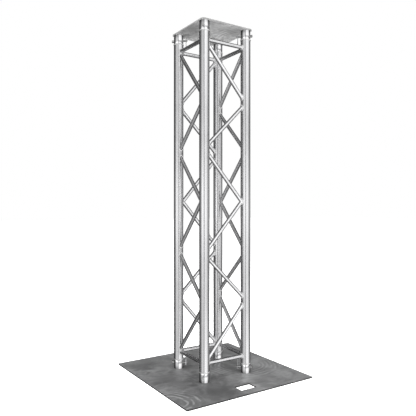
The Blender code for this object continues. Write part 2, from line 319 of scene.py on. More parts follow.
def extruded_aluminium(name, metal):
    """Satin tube with lengthways drawing lines, broader bands and faint cloudy handling marks."""
    look = bpy.context.scene.truss_finishes

    def build(recipe):
        grain = recipe.grain()
        lines = recipe.noise(recipe.stretched(grain, 900.0, 900.0, 4.0), 1.0, 3.0, 0.6)
        bands = recipe.noise(recipe.stretched(grain, 190.0, 190.0, 1.6), 1.0, 2.0)
        clouds = recipe.noise(recipe.place(), 11.0, 4.0, 0.6, 0.5)
        marks = recipe.noise(recipe.stretched(grain, 70.0, 70.0, 24.0), 1.0, 4.0, 0.65)
        specks = recipe.noise(recipe.place(), 260.0, 2.0).between(0.64, 0.74)
        tone = 0.35 * lines + 0.35 * bands + 0.30 * clouds + 0.25 * marks
        tint = recipe.blend(tone.between(0.42, 0.85), darker(metal, 0.87), darker(metal, 1.04))
        tint = recipe.blend(0.18 * specks, tint, darker(metal, 0.60))
        polish = look.tube_roughness + 0.06 * (lines - 0.5) + 0.12 * (marks - 0.5)
        return {
            "Base Color": tint,
            "Metallic": 1.0,
            "Roughness": (polish + 0.10 * (clouds - 0.5)).clamped(),
            "Specular Tint": (0.6, 0.6, 0.6, 1.0),
            "Normal": recipe.bump(0.6 * lines + 0.4 * bands, 0.00003, 0.4),
        }

    return shader(name, build)


def turned_aluminium():
    """Bright turned metal with fine rings round the piece."""
    look = bpy.context.scene.truss_finishes

    def build(recipe):
        rings = recipe.noise(recipe.stretched(recipe.grain(), 6.0, 6.0, 2600.0), 1.0, 2.0)
        clouds = recipe.noise(recipe.place(), 60.0, 3.0)
        tint = recipe.blend(clouds, darker(look.turned_colour, 0.93), look.turned_colour)
        return {
            "Base Color": tint,
            "Metallic": 1.0,
            "Specular Tint": (0.35, 0.35, 0.35, 1.0),
            "Roughness": look.turned_roughness + 0.08 * (rings - 0.5) + 0.05 * (clouds - 0.5),
            "Normal": recipe.bump(rings, 0.000012, 0.4),
        }

    return shader("turned_aluminium", build)


def weld_metal():
    """Bright cast-looking weld metal, a little frosted."""
    look = bpy.context.scene.truss_finishes

    def build(recipe):
        frost = recipe.noise(recipe.place(), 700.0, 3.0, 0.6)
        soot = recipe.noise(recipe.place(), 120.0, 2.0).between(0.55, 0.75)
        tint = recipe.blend(0.35 * soot, look.weld_colour, darker(look.weld_colour, 0.6))
        return {
            "Base Color": tint,
            "Metallic": 0.9,
            "Roughness": 0.30 + 0.16 * frost,
            "Normal": recipe.bump(frost, 0.00018, 0.5),
        }

    return shader("weld_metal", build)


def mill_steel(name, face_colour, stains_and_shade, depth):
    """Rolled plate: cloudy scale, stains and painted shade at (x, y, reach), and arcs left by a
    polishing disc.
    """
    look = bpy.context.scene.truss_finishes

    def build(recipe):
        place = recipe.place()
        x, y, _ = recipe.parts(place)
        clouds = recipe.noise(place, 5.5, 5.0, 0.62, 0.6)
        patches = recipe.noise(place, 14.0, 4.0, 0.55, 1.4)
        fine = recipe.noise(place, 420.0, 3.0, 0.6)
        rolled = recipe.noise(recipe.stretched(place, 7.0, 90.0, 5.0), 1.0, 3.0, 0.6, 0.5)
        bend = recipe.noise(place, 7.0, 2.0, 0.5)
        fade = recipe.noise(place, 16.0, 2.0).between(0.32, 0.56)

        def away(across, along):
            """The distance from a point of the plate."""
            wide, deep = x - across, y - along
            return (wide * wide + deep * deep) ** 0.5

        def arcs(across, along, pitch, near, far):
            """Rubbed arcs about a point, between two distances from it."""
            reach = away(across, along)
            turns = reach * (math.tau / pitch) + 15.0 * bend
            wave = recipe.node("ShaderNodeMath", {"operation": "SINE"}, {0: turns})
            band = reach.between(near, near + 0.03) * (1.0 - reach.between(far - 0.03, far))
            return wave * band * fade

        swept = arcs(-0.40, -0.27, 0.026, 0.05, 0.17) + 0.6 * arcs(0.18, -0.02, 0.023, 0.08, 0.22)
        rubbed, dulled = swept.between(-0.1, 0.9), (0.0 - swept).between(0.0, 0.9)
        # Darker patches round the given points: real stains, and broad painted shade where the
        # plate tables mark it.
        stain_and_shade = 0.0
        for across, along, reach in stains_and_shade:
            ragged = away(across, along) + 0.16 * (patches - 0.5)
            stain_and_shade = stain_and_shade + (1.0 - ragged.between(0.2 * reach, reach))
        tone = 0.50 * clouds + 0.28 * patches + 0.14 * rolled + 0.16 * fine - 0.06
        dark, light = darker(face_colour, 0.58), darker(face_colour, 1.36)
        tint = recipe.blend(tone.between(0.34, 0.70), dark, light)
        tint = recipe.blend((depth * stain_and_shade).clamped(), tint, darker(face_colour, 0.30))
        tint = recipe.blend(0.40 * rubbed, tint, darker(face_colour, 1.75))
        tint = recipe.blend(0.35 * dulled, tint, darker(face_colour, 0.45))
        polish = look.plate_roughness + 0.26 * (patches - 0.5) - 0.08 * rubbed
        return {
            "Base Color": tint,
            "Metallic": 0.5,
            "Roughness": polish.clamped(),
            "Normal": recipe.bump(0.6 * fine + 0.4 * patches, 0.00012, 0.35),
        }

    return shader(name, build)


def cut_edge(name, edge_colour):
    """The sawn edges of the plates."""

    def build(recipe):
        saw = recipe.noise(recipe.stretched(recipe.place(), 60.0, 60.0, 1200.0), 1.0, 2.0)
        rust = recipe.noise(recipe.place(), 40.0, 4.0, 0.6)
        tint = recipe.blend(rust, darker(edge_colour, 0.6), edge_colour)
        return {
            "Base Color": tint,
            "Roughness": 0.55 + 0.2 * rust,
            "Specular IOR Level": 0.2,
            "Normal": recipe.bump(saw, 0.00005, 0.6),
        }

    return shader(name, build)


def zinc_plate():
    """Bright zinc on the pins and screws."""
    look = bpy.context.scene.truss_finishes

    def build(recipe):
        rings = recipe.noise(recipe.stretched(recipe.grain(), 8.0, 8.0, 1800.0), 1.0, 2.0)
        worn = recipe.noise(recipe.place(), 90.0, 3.0)
        tint = recipe.blend(worn, darker(look.zinc_colour, 0.85), look.zinc_colour)
        return {
            "Base Color": tint,
            "Metallic": 1.0,
            "Roughness": 0.15 + 0.10 * worn + 0.05 * rings,
            "Normal": recipe.bump(rings, 0.00001, 0.4),
        }

    return shader("zinc_plate", build)


def spring_wire():
    """Drawn spring wire with a thin oily film."""
    look = bpy.context.scene.truss_finishes

    def build(recipe):
        film = recipe.noise(recipe.place(), 150.0, 3.0)
        tint = recipe.blend(film, darker(look.wire_colour, 0.6), look.wire_colour)
        return {"Base Color": tint, "Metallic": 1.0, "Roughness": 0.18 + 0.16 * film}

    return shader("spring_wire", build)


# ---------------------------------------------------------------- modelling helpers

SMOOTH_ANGLE = 35
PLATE_ANGLE, WIRE_ANGLE, WELD_ANGLE = 30, 50, 60
MERGE = 1e-6
MIRROR_MERGE = 0.00005
CORNER_STEPS = 8
FITTING_SIDES = 48
# How far the cutters for pins, screws and clips reach, and a brace past its mitre
DRILL_REACH, SCREW_REACH, LEG_REACH, MITRE_SPARE = 0.06, 0.02, 0.02, 0.03
FLAT = 0.95  # faces of a plate that lean more than this take the edge's finish
SLOT_CUTTER = 10  # a slot cutter's height, in plate thicknesses
BITE = 0.0002  # braces reach this far into a chord's wall


def deselect_all():
    if bpy.context.object and bpy.context.object.mode != "OBJECT":
        bpy.ops.object.mode_set(mode="OBJECT")
    bpy.ops.object.select_all(action="DESELECT")


def work_on(obj):
    deselect_all()
    obj.select_set(True)
    bpy.context.view_layer.objects.active = obj


def settle(obj):
    """Put an object's place, turn and size into its mesh."""
    work_on(obj)
    bpy.ops.object.transform_apply(location=True, rotation=True, scale=True)


def discard(*objects):
    for obj in objects:
        bpy.data.objects.remove(obj, do_unlink=True)


def turned(name, outline, sides, ring=False):
    """Turn an outline of (radius, height) by extruding and scaling a circle, closed or capped."""
    deselect_all()
    radius, height = outline[0]
    bpy.ops.mesh.primitive_circle_add(vertices=sides, radius=radius, location=(0, 0, 0))
    obj = bpy.context.object
    obj.name = name
    bpy.ops.object.mode_set(mode="EDIT")
    bpy.ops.mesh.select_mode(type="EDGE")
    bpy.ops.mesh.select_all(action="SELECT")
    bpy.ops.transform.translate(value=(0, 0, height))
    stations = list(outline[1:]) + ([outline[0]] if ring else [])
    for next_radius, next_height in stations:
        bpy.ops.mesh.extrude_edges_move(
            TRANSFORM_OT_translate={"value": (0, 0, next_height - height)}
        )
        if next_radius != radius:
            factor = next_radius / radius
            bpy.ops.transform.resize(value=(factor, factor, 1), center_override=(0, 0, 0))
        radius, height = next_radius, next_height
    bpy.ops.mesh.select_all(action="SELECT")
    if ring:
        bpy.ops.mesh.remove_doubles(threshold=MERGE)
    else:
        bpy.ops.mesh.fill_holes(sides=0)
        bpy.ops.mesh.select_all(action="SELECT")
    bpy.ops.mesh.normals_make_consistent(inside=False)
    bpy.ops.object.mode_set(mode="OBJECT")
    return obj


def slab(name, size, middle, corner):
    """A box with rounded upright corners."""
    deselect_all()
    bpy.ops.mesh.primitive_cube_add(size=1.0, location=middle, scale=size)
    obj = bpy.context.object
    obj.name = name
    settle(obj)
    bpy.ops.object.mode_set(mode="EDIT")
    bpy.ops.mesh.select_mode(type="EDGE")
    bpy.ops.mesh.select_all(action="DESELECT")
    edit = bmesh.from_edit_mesh(obj.data)
    for edge in edit.edges:
        first, second = edge.verts
        edge.select_set(abs(first.co.z - second.co.z) > size[2] / 2)
    bmesh.update_edit_mesh(obj.data)
    bpy.ops.mesh.bevel(offset=corner, segments=CORNER_STEPS, affect="EDGES")
    bpy.ops.object.mode_set(mode="OBJECT")
    return obj


def boolean(obj, operation, *others):
    """Cut or join with other objects, which are used up."""
    for other in others:
        work_on(obj)
        bpy.ops.object.modifier_add(type="BOOLEAN")
        modifier = obj.modifiers[-1]
        modifier.operation = operation
        modifier.solver = "EXACT"
        modifier.object = other
        bpy.ops.object.modifier_apply(modifier=modifier.name)
    discard(*others)
    return obj


def smooth(obj, degrees=SMOOTH_ANGLE):
    work_on(obj)
    bpy.ops.object.shade_smooth_by_angle(angle=math.radians(degrees))
    return obj


def mark_grain(obj, own_frame=None):
    """Store each point's place in the piece's own frame, which its finish follows."""
    back = (own_frame or Matrix.Identity(4)).inverted()
    attribute = obj.data.attributes.get("grain")
    attribute = attribute or obj.data.attributes.new("grain", "FLOAT_VECTOR", "POINT")
    for vertex, entry in zip(obj.data.vertices, attribute.data):
        entry.vector = back @ vertex.co
    return obj


def copied(pattern, name, matrix):
    """A copy with a mesh of its own, its place in the mesh."""
    made = pattern.copy()
    made.data = pattern.data.copy()
    made.data.transform(matrix)
    made.name = name
    bpy.context.scene.collection.objects.link(made)
    return made


def finish_piece(obj, body, slot, *materials):
    obj.data.materials.clear()
    for material in materials:
        obj.data.materials.append(material)
    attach(obj, body)


def quarter_turn(index):
    return Matrix.Rotation(index * math.pi / 2, 4, "Z")


def along(start, end):
    """The frame of a straight piece, with Z from its start to its end."""
    turn = (end - start).to_track_quat("Z", "Y").to_matrix().to_4x4()
    return Matrix.Translation(start) @ turn


def chord_point(side, reach):
    """A point on the left (-1) or right (+1) chord of the front face, from mid-height."""
    return Vector((side * OFFSET, -OFFSET, MIDDLE + reach))


def upside_down(matrix):
    """The same place turned over about the front face's middle line."""
    line = Matrix.Translation((0, -OFFSET, MIDDLE))
    return line @ Matrix.Rotation(math.pi, 4, "X") @ line.inverted() @ matrix


def pin_frame(corner, upper):
    """A pin's frame: Z outward along the pin, Y up the chord towards its middle."""
    sizes = bpy.context.scene.truss_fittings
    height = TOP - sizes.pin_height if upper else BOTTOM + sizes.pin_height
    outward = Vector((-1, -1, 0)).normalized()
    towards_middle = Vector((0, 0, -1 if upper else 1))
    sideways = towards_middle.cross(outward)
    turn = Matrix((sideways, towards_middle, outward)).transposed().to_4x4()
    return quarter_turn(corner) @ Matrix.Translation((-OFFSET, -OFFSET, height)) @ turn


def ends():
    """(corner index, name, whether it is the upper end) of every chord end."""
    for index, corner in enumerate(CORNERS):
        for level in ("lower", "upper"):
            yield index, f"{corner}_{level}", level == "upper"


def end_frame(corner, upper):
    """A chord end's frame: origin on the chord's axis at its end, Z towards the chord's middle."""
    spot = quarter_turn(corner) @ Matrix.Translation((-OFFSET, -OFFSET, BOTTOM))
    if upper:
        spot = pin_frame(corner, True) @ pin_frame(corner, False).inverted() @ spot
    return spot


def pin_radius(sizes, reach):
    part = (reach + sizes.pin_inner) / (sizes.pin_outer + sizes.pin_inner)
    return sizes.pin_small + part * (sizes.pin_big - sizes.pin_small)


def pin_drill(sizes, matrix):
    """The tapered hole for a pin, in another piece's frame."""
    outline = [
        (pin_radius(sizes, reach) + sizes.gap, reach) for reach in (-DRILL_REACH, DRILL_REACH)
    ]
    drill = turned("pin_drill", outline, FITTING_SIDES)
    drill.data.transform(matrix)
    return drill


def countersunk(sizes, extra):
    """The outline of a screw hole, head side down, a little larger than the screw."""
    head = sizes.screw_recess
    neck = head + sizes.screw_head - sizes.screw_radius
    return [
        (sizes.screw_head + extra, -SCREW_REACH),
        (sizes.screw_head + extra, head),
        (sizes.screw_radius + extra, neck),
        (sizes.screw_radius + extra, SCREW_REACH),
    ]


def plate(name, node, corner, slots, upside, face, edge):
    """A plate with countersunk holes, hand slots and broken edges."""
    sizes = bpy.context.scene.truss_fittings
    low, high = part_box(node)
    obj = slab(name, tuple(high - low), tuple((low + high) / 2), corner)
    cutters = []
    for index in range(4):
        hole = turned("screw_hole", countersunk(sizes, sizes.gap), FITTING_SIDES)
        spot = quarter_turn(index) @ Matrix.Translation((-OFFSET, -OFFSET, 0))
        if upside:
            spot = Matrix.Translation((0, 0, high.z)) @ Matrix.Rotation(math.pi, 4, "X") @ spot
        hole.data.transform(spot)
        cutters.append(hole)
    for side in slots:
        size = (sizes.slot_length, sizes.slot_width, SLOT_CUTTER * (high.z - low.z))
        middle = (0, side * (high.y - sizes.slot_inset), low.z)
        cutters.append(slab("slot", size, middle, sizes.slot_corner))
    boolean(obj, "DIFFERENCE", *cutters)
    work_on(obj)
    bpy.ops.object.modifier_add(type="BEVEL")
    obj.modifiers[-1].width = sizes.edge_break
    obj.modifiers[-1].segments = 2
    obj.modifiers[-1].limit_method = "ANGLE"
    bpy.ops.object.modifier_apply(modifier=obj.modifiers[-1].name)
    smooth(obj, PLATE_ANGLE)
    finish_piece(obj, TRUSS, "plate_steel", face, edge)
    obj.visible_glossy = False
    for polygon in obj.data.polygons:
        polygon.material_index = int(abs(polygon.normal.z) < FLAT)
    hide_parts(node)


# Stains and painted shade on the plates: x, y and reach. On the base plate the broad patch at
# (-0.24, -0.32) towards its front corner is painted shade, the others are stains.
BASE_STAINS_AND_SHADE = (
    (-0.26, 0.02, 0.20), (-0.30, 0.24, 0.12), (-0.24, -0.32, 0.26), (-0.12, -0.20, 0.22),
)
# The top plate's patch is painted shade, darker on the left part of its underside.
TOP_PAINTED_SHADE = ((-0.15, 0.01, 0.15),)


class TRUSS_OT_plates(bpy.types.Operator):
    """Make the base plate and the top plate"""

    bl_idname = "truss.plates"
    bl_label = "Plates"

    def execute(self, context):
        sizes = context.scene.truss_fittings
        look = context.scene.truss_finishes
        # The base plate's steel: stains, and painted shade towards its front corner.
        face = mill_steel("base_steel_stains_and_shade", look.base_colour, BASE_STAINS_AND_SHADE, 0.55)
        edge = cut_edge("base_sawn_edge", look.base_edge)
        plate("base_plate_finished", "base_plate", sizes.base_corner, (-1, 1), False, face, edge)
        # The top plate's steel: its lighter colour is painted light on its underside, and its
        # patch is painted shade.
        face = mill_steel("top_steel_painted_light_and_shade", look.top_lit_colour, TOP_PAINTED_SHADE, 0.75)
        edge = cut_edge("top_worn_edge", look.top_edge)
        plate("top_plate_finished", "top_plate", sizes.top_corner, (), True, face, edge)
        return {"FINISHED"}


class TRUSS_OT_chords(bpy.types.Operator):
    """Make the four chord tubes"""

    bl_idname = "truss.chords"
    bl_label = "Chord tubes"

    def execute(self, context):
        sizes = context.scene.truss_sizes
        bore = sizes.tube_radius - sizes.tube_wall
        start = sizes.receiver_length
        end = TOP - BOTTOM - sizes.receiver_length
        outline = [
            (sizes.tube_radius, start), (sizes.tube_radius, end), (bore, end), (bore, start),
        ]
        pattern = turned("chord_pattern", outline, sizes.chord_sides, ring=True)
        metal = tuple(context.scene.truss_finishes.tube_colour)
        finish = extruded_aluminium("chord_aluminium", metal)
        mark_grain(smooth(pattern))
        for index, corner in enumerate(CORNERS):
            spot = quarter_turn(index) @ Matrix.Translation((-OFFSET, -OFFSET, BOTTOM))
            tube = copied(pattern, f"{corner}_tube", spot)
            finish_piece(tube, TRUSS, "extruded_aluminium", finish)
            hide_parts(f"{corner}_chord")
        discard(pattern)
        return {"FINISHED"}


MOUTH_EDGE = 0.0008  # the bevels inside and outside a receiver's mouth
LIP, LIP_TOE = 0.0010, 0.0003
SHOULDER = 0.0008  # the weld groove where a receiver meets its tube
SHOULDER_DROP, SHOULDER_LENGTH = 0.0030, 0.0012
SPIGOT_LENGTH = 0.008
SPIGOT_GAP = 0.0001


class TRUSS_OT_receivers(bpy.types.Operator):
    """Make the turned receivers at the chord ends"""

    bl_idname = "truss.receivers"
    bl_label = "Receivers"

    def execute(self, context):
        sizes = context.scene.truss_sizes
        fittings = context.scene.truss_fittings
        radius, length = sizes.receiver_radius, sizes.receiver_length
        spigot = sizes.tube_radius - sizes.tube_wall - SPIGOT_GAP
        mouth = fittings.cone_mouth + fittings.gap
        tip = fittings.cone_tip + fittings.gap
        outline = [
            (mouth + MOUTH_EDGE, 0),
            (radius - LIP, 0),
            (radius - LIP_TOE, LIP_TOE),
            (radius, LIP),
            (radius, length - SHOULDER_DROP),
            (radius - SHOULDER, length - SHOULDER_LENGTH),
            (radius - SHOULDER, length),
            (spigot, length),
            (spigot, length + SPIGOT_LENGTH),
            (tip, length + SPIGOT_LENGTH),
            (tip, fittings.cone_length),
            (mouth, MOUTH_EDGE),
        ]
        pattern = turned("receiver_pattern", outline, sizes.chord_sides, ring=True)
        to_end = end_frame(0, False).inverted()
        boolean(pattern, "DIFFERENCE", pin_drill(fittings, to_end @ pin_frame(0, False)))
        mark_grain(smooth(pattern))
        for index, name, upper in ends():
            piece = copied(pattern, f"{name}_receiver", end_frame(index, upper))
            finish_piece(piece, TRUSS, "machined_aluminium", turned_aluminium())
        discard(pattern)
        return {"FINISHED"}


def brace_tube(name, start, end):
    """A hollow tube on the line from start to end, marked with its grain."""
    sizes = bpy.context.scene.truss_sizes
    deselect_all()
    bpy.ops.mesh.primitive_cylinder_add(
        vertices=sizes.brace_sides, radius=sizes.brace_radius, depth=(end - start).length,
        end_fill_type="NOTHING", location=(0, 0, (end - start).length / 2),
    )
    obj = bpy.context.object
    obj.name = name
    settle(obj)
    bpy.ops.object.modifier_add(type="SOLIDIFY")
    obj.modifiers[-1].thickness = sizes.brace_wall
    obj.modifiers[-1].offset = -1.0
    bpy.ops.object.modifier_apply(modifier=obj.modifiers[-1].name)
    obj.data.transform(along(start, end))
    return obj


def chord_cutters():
    """The front face's two chords, as solid rods that bite a hair less deep than the tubes."""
    sizes = bpy.context.scene.truss_sizes
    cutters = []
    for side in (-1, 1):
        deselect_all()
        bpy.ops.mesh.primitive_cylinder_add(
            vertices=sizes.chord_sides, radius=sizes.tube_radius - BITE, depth=2 * HALF,
            location=(side * OFFSET, -OFFSET, MIDDLE),
        )
        settle(bpy.context.object)
        cutters.append(bpy.context.object)
    return cutters


def straight_brace(name, start, end):
    obj = brace_tube(name, start, end)
    boolean(obj, "DIFFERENCE", *chord_cutters())
    return mark_grain(smooth(obj), along(start, end))


def chevron(name, start, apex):
    """Two tubes mitred into a V: one leg is cut at mid-height and mirrored."""
    past = apex + MITRE_SPARE * (apex - start).normalized()
    obj = brace_tube(name, start, past)
    to_middle = Matrix.Translation((0, 0, -MIDDLE))
    obj.data.transform(to_middle)
    work_on(obj)
    bpy.ops.object.mode_set(mode="EDIT")
    bpy.ops.mesh.select_all(action="SELECT")
    bpy.ops.mesh.bisect(
        plane_co=(0, 0, 0), plane_no=(0, 0, 1), clear_inner=True, use_fill=False
    )
    bpy.ops.object.mode_set(mode="OBJECT")
    bpy.ops.object.modifier_add(type="MIRROR")
    obj.modifiers[-1].use_axis = (False, False, True)
    obj.modifiers[-1].merge_threshold = MIRROR_MERGE
    bpy.ops.object.modifier_apply(modifier=obj.modifiers[-1].name)
    obj.data.transform(to_middle.inverted())
    bpy.ops.object.mode_set(mode="EDIT")
    bpy.ops.mesh.select_all(action="SELECT")
    bpy.ops.mesh.normals_make_consistent(inside=False)
    bpy.ops.object.mode_set(mode="OBJECT")
    boolean(obj, "DIFFERENCE", *chord_cutters())
    return mark_grain(smooth(obj), along(start, apex))


def saddle(centre, direction, angle, brace_radius, chord_radius):
    """The point where a line along a brace's wall meets the chord's surface, and its spoke."""
    across = Vector((0, 1, 0))
    upright = direction.cross(across)
    spoke = math.cos(angle) * across + math.sin(angle) * upright
    edge = brace_radius * spoke
    a = direction.x ** 2 + direction.y ** 2
    b = edge.x * direction.x + edge.y * direction.y
    c = edge.x ** 2 + edge.y ** 2 - chord_radius ** 2
    run = (-b + math.sqrt(b * b - a * c)) / a
    return centre + edge + run * direction, spoke


BEAD_STEPS, BEAD_SIDES = 88, 10
BEAD_RIPPLES, BEAD_RIPPLE = 22, 0.13  # how many puddles a bead has, and how much each swells
BEAD_SAG, SAG_TURN = 0.10, 40  # an uneven swell that differs from joint to joint
RING_STEPS, RING_RIPPLES, RING_RIPPLE, RING_SAG = 180, 45, 0.12, 0.10
RING_SINK = 0.0006
RING_LIFT = 0.0008
RING_WIDTH = 1.25


def weld_bead(centre, direction):
    """A rippled bead where a brace leaves a chord: a torus laid into the saddle between them."""
    sizes = bpy.context.scene.truss_sizes
    deselect_all()
    bpy.ops.mesh.primitive_torus_add(
        major_segments=BEAD_STEPS, minor_segments=BEAD_SIDES,
        major_radius=sizes.brace_radius, minor_radius=sizes.bead_radius,
    )
    bead = bpy.context.object
    for vertex in bead.data.vertices:
        spot = vertex.co
        angle = math.atan2(spot.y, spot.x)
        swell = 1.0 + BEAD_RIPPLE * math.cos(BEAD_RIPPLES * angle)
        swell += BEAD_SAG * math.sin(3 * angle + SAG_TURN * centre.z)
        middle, spoke = saddle(centre, direction, angle, sizes.brace_radius, sizes.tube_radius)
        outward = (math.hypot(spot.x, spot.y) - sizes.brace_radius) * swell
        vertex.co = middle + outward * spoke + spot.z * swell * direction
    return bead


def joined(name, parts):
    work_on(parts[0])
    for part in parts[1:]:
        part.select_set(True)
    bpy.ops.object.join()
    parts[0].name = name
    bpy.ops.object.mode_set(mode="EDIT")
    bpy.ops.mesh.select_all(action="SELECT")
    bpy.ops.mesh.normals_make_consistent(inside=False)
    bpy.ops.object.mode_set(mode="OBJECT")
    return parts[0]


def brace_layout():
    """Each kind of brace on the front face: name, its lines, and its places in both halves."""
    sizes = bpy.context.scene.truss_sizes
    outer, upper, lower = (
        HALF * node for node in (sizes.outer_node, sizes.upper_node, sizes.lower_node)
    )
    apex = chord_point(1, 0) - Vector((sizes.tube_radius, 0, 0))
    both = (("upper", False), ("lower", True))
    return (
        ("rail", chord_point(-1, RAIL_REACH), chord_point(1, RAIL_REACH), both),
        ("outer_diagonal", chord_point(-1, outer), chord_point(1, upper), both),
        ("inner_diagonal", chord_point(-1, lower), chord_point(1, upper), both),
        ("chevron", chord_point(-1, lower), apex, (("middle", False),)),
    )


def spread(pattern, kind, places, ending, slot, material, stands_for):
    """Copy a front-face pattern to both halves and all four faces."""
    for place, turned_over in places:
        over = upside_down(Matrix.Identity(4)) if turned_over else Matrix.Identity(4)
        for index, face in enumerate(FACES):
            node = f"{face}_{place}_{kind}"
            piece = copied(pattern, node + ending, quarter_turn(index) @ over)
            finish_piece(piece, TRUSS, slot, material)
            if stands_for:
                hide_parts(node)
    discard(pattern)


class TRUSS_OT_bracing(bpy.types.Operator):
    """Make the rails, diagonals and chevrons"""

    bl_idname = "truss.bracing"
    bl_label = "Bracing"

    def execute(self, context):
        metal = tuple(context.scene.truss_finishes.brace_colour)
        finish = extruded_aluminium("brace_aluminium", metal)
        for kind, start, end, places in brace_layout():
            make = chevron if kind == "chevron" else straight_brace
            pattern = make(f"{kind}_pattern", start, end)
            spread(pattern, kind, places, "_tube", "extruded_aluminium", finish, True)
        return {"FINISHED"}


class TRUSS_OT_welds(bpy.types.Operator):
    """Make the weld beads of the bracing and of the receivers"""

    bl_idname = "truss.welds"
    bl_label = "Welds"

    def execute(self, context):
        sizes = context.scene.truss_sizes
        for kind, start, end, places in brace_layout():
            run = (end - start).normalized()
            if kind == "chevron":
                far = chord_point(1, run.z / run.x * sizes.tube_radius)
                beads = [weld_bead(start, run), weld_bead(far, -run)]
                flip = Matrix.Translation((0, 0, 2 * MIDDLE)) @ Matrix.Scale(-1, 4, (0, 0, 1))
                beads += [copied(bead, "bead", flip) for bead in list(beads)]
            else:
                beads = [weld_bead(start, run), weld_bead(end, -run)]
            pattern = smooth(joined(f"{kind}_welds", beads), WELD_ANGLE)
            spread(pattern, kind, places, "_welds", "extruded_aluminium", weld_metal(), False)
        self.receiver_rings(sizes)
        return {"FINISHED"}

    def receiver_rings(self, sizes):
        deselect_all()
        bpy.ops.mesh.primitive_torus_add(
            major_segments=RING_STEPS, minor_segments=BEAD_SIDES,
            major_radius=sizes.tube_radius - RING_SINK, minor_radius=sizes.ring_radius,
            location=(0, 0, 0),
        )
        ring = bpy.context.object
        for vertex in ring.data.vertices:
            angle = math.atan2(vertex.co.y, vertex.co.x)
            swell = 1.0 + RING_RIPPLE * math.cos(RING_RIPPLES * angle)
            swell += RING_SAG * math.sin(5 * angle)
            spoke = Vector((math.cos(angle), math.sin(angle), 0))
            middle = (sizes.tube_radius - RING_SINK) * spoke
            vertex.co = middle + swell * (vertex.co - middle)
            vertex.co.z = RING_WIDTH * vertex.co.z + sizes.receiver_length + RING_LIFT
        smooth(ring, WELD_ANGLE)
        for index, name, upper in ends():
            piece = copied(ring, f"{name}_receiver_weld", end_frame(index, upper))
            finish_piece(piece, TRUSS, "extruded_aluminium", weld_metal())
        discard(ring)


CONE_SIDES = 64
HEAD_BREAK, HEAD_TOE = 0.0004, 0.0003
MOUTH_BREAK = 0.0005
TIP_BREAK, TIP_RISE = 0.001, 0.0007
KEY_RADIUS, KEY_DEPTH = 0.0035, 0.003  # the hexagon socket in a screw's head


class TRUSS_OT_couplers(bpy.types.Operator):
    """Make the half couplers with their plate screws"""

    bl_idname = "truss.couplers"
    bl_label = "Half couplers"

    def execute(self, context):
        sizes = context.scene.truss_fittings
        low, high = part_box("base_plate")
        head = low.z - BOTTOM + sizes.screw_recess
        neck = head + sizes.screw_head - sizes.screw_radius
        outline = [
            (sizes.screw_head - HEAD_BREAK, head),
            (sizes.screw_head, head + HEAD_TOE),
            (sizes.screw_radius, neck),
            (sizes.screw_radius, 0),
            (sizes.cone_mouth - MOUTH_BREAK, 0),
            (sizes.cone_mouth, MOUTH_BREAK),
            (sizes.cone_tip, sizes.cone_length - sizes.gap),
            (sizes.cone_tip - TIP_BREAK, sizes.cone_length + TIP_RISE),
        ]
        pattern = turned("coupler_pattern", outline, CONE_SIDES)
        depths = (head - KEY_DEPTH, head + KEY_DEPTH)
        key = turned("key", [(KEY_RADIUS, depth) for depth in depths], 6)
        drill = pin_drill(sizes, end_frame(0, False).inverted() @ pin_frame(0, False))
        boolean(pattern, "DIFFERENCE", drill, key)
        mark_grain(smooth(pattern))
        for index, name, upper in ends():
            piece = copied(pattern, f"{name}_half_coupler", end_frame(index, upper))
            finish_piece(piece, TRUSS, "machined_aluminium", zinc_plate())
            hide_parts(f"{name}_coupler")
        discard(pattern)
        return {"FINISHED"}


PIN_NOSE, PIN_TOE = 0.0012, 0.0004
PIN_CROWN = 0.0016
PIN_HEAD = ((0.0004, 0.0006), (0.0012, 0.0001), (0.0020, 0), (0.0042, 0.0004))


class TRUSS_OT_pins(bpy.types.Operator):
    """Make the tapered pins"""

    bl_idname = "truss.pins"
    bl_label = "Pins"

    def execute(self, context):
        sizes = context.scene.truss_fittings
        inner, outer = -sizes.pin_inner, sizes.pin_outer
        tip, big = pin_radius(sizes, inner), sizes.pin_big
        outline = [
            (tip - PIN_NOSE, inner),
            (tip - PIN_TOE, inner + PIN_TOE),
            (pin_radius(sizes, inner + PIN_NOSE), inner + PIN_NOSE),
            (pin_radius(sizes, outer - PIN_CROWN), outer - PIN_CROWN),
        ]
        outline += [(big - inset, outer - depth) for inset, depth in PIN_HEAD]
        pattern = turned("pin_pattern", outline, FITTING_SIDES)
        hole = sizes.wire_radius + sizes.gap
        leg = turned("leg", [(hole, -LEG_REACH), (hole, LEG_REACH)], FITTING_SIDES // 2)
        upright = Matrix.Rotation(math.pi / 2, 4, "X")
        leg.data.transform(Matrix.Translation((0, 0, -sizes.clip_reach)) @ upright)
        boolean(pattern, "DIFFERENCE", leg)
        mark_grain(smooth(pattern))
        for index, name, upper in ends():
            piece = copied(pattern, f"{name}_taper_pin", pin_frame(index, upper))
            finish_piece(piece, f"{name}_pin", "zinc_plated_steel", zinc_plate())
            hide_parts(f"{name}_pin")
        discard(pattern)
        return {"FINISHED"}


WIRE_STEPS, ROUTE_STEPS = 4, 9
EYE_TURN = (180, 120, 60, 0, -60)
WAIST, SEAT = 0.75, 0.62  # how near the arched leg comes above the pin, as a share of its arch


def clip_route(sizes):
    """The clip's wire: a straight leg, a round eye, and a leg that arches past the pin."""
    beside = pin_radius(sizes, -sizes.clip_reach) + sizes.wire_radius + 2 * sizes.gap
    eye = Vector((sizes.eye_radius, sizes.eye_height))
    route = [Vector((0, -sizes.leg_tip)), Vector((0, 0)), Vector((0, sizes.eye_height / 2))]
    for degrees in EYE_TURN:
        angle = math.radians(degrees)
        route.append(eye + sizes.eye_radius * Vector((math.cos(angle), math.sin(angle))))
    route.append(Vector((WAIST * beside, sizes.eye_height - 2.1 * sizes.eye_radius)))
    route.append(Vector((SEAT * beside, sizes.eye_height - 3.3 * sizes.eye_radius)))
    route.append(Vector((beside, 0.25 * beside)))
    route.append(Vector((beside, -0.6 * beside)))
    route.append(Vector((1.5 * beside, -0.9 * sizes.leg_tip)))
    return route


